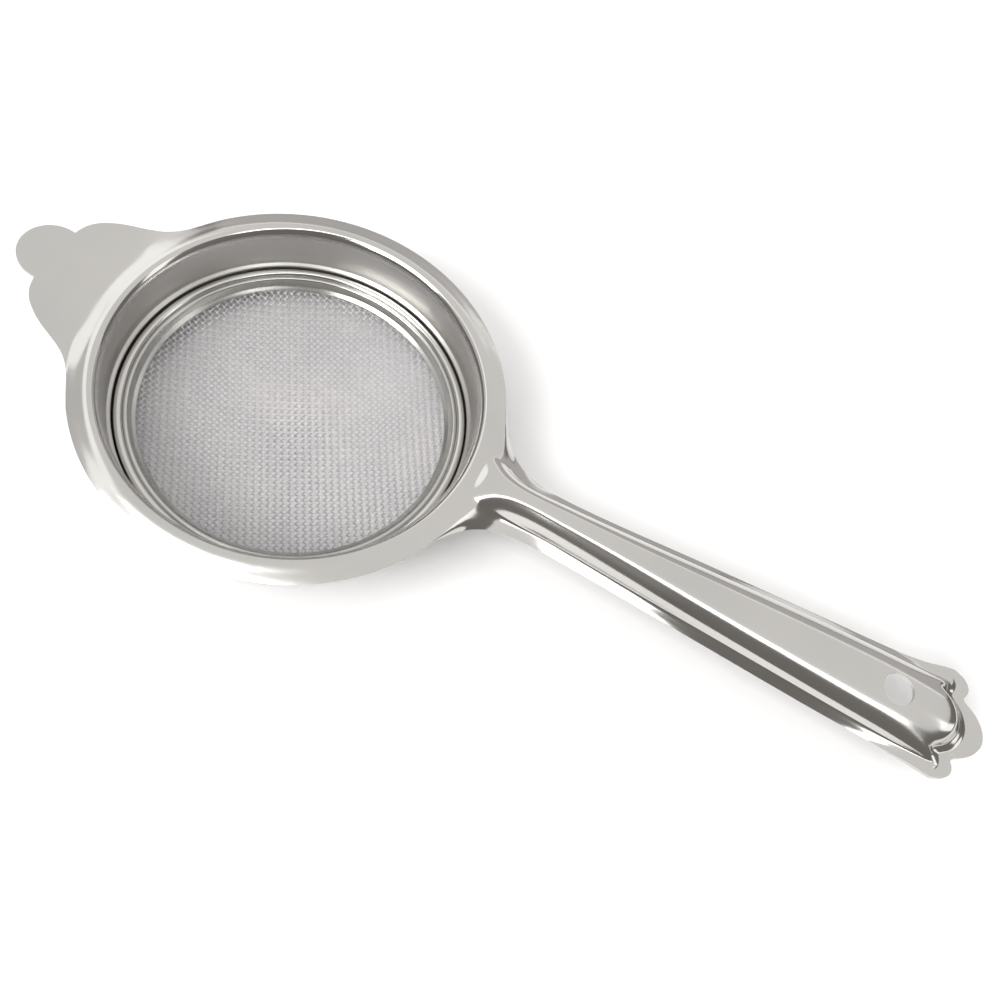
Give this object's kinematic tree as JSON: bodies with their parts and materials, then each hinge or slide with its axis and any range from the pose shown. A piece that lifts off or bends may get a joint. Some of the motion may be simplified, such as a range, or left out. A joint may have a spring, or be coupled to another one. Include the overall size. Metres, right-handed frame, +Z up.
{
  "type": "tea strainer",
  "caption": "Pressed steel tea strainer: round flanged well with a sagging woven mesh, a lobed rest ear and a hollow arched handle with a scalloped end and a hanging hole.",
  "frame": {"origin": "on the well's axis, 3 mm below the lip's crest, where the straight outer wall starts", "axes": "+X from the well to the handle's end, +Z up out of the well's mouth, +Y across"},
  "size_m": [0.2111, 0.084, 0.0193],
  "materials": {
    "polished_steel": "polished stainless steel sheet with faint rub marks",
    "ring_steel": "polished rolled steel",
    "hoop_steel": "polished steel, slightly duller than the ring",
    "mesh_wire": "drawn steel wire, satin"
  },
  "bodies": {
    "root": {"rim": "polished_steel", "well": "polished_steel", "ear": "polished_steel", "neck": "polished_steel", "handle": "polished_steel", "retaining_ring": "ring_steel", "mesh_hoop": "hoop_steel", "mesh": "mesh_wire", "clamp_ring": "ring_steel"}
  },
  "joints": []
}
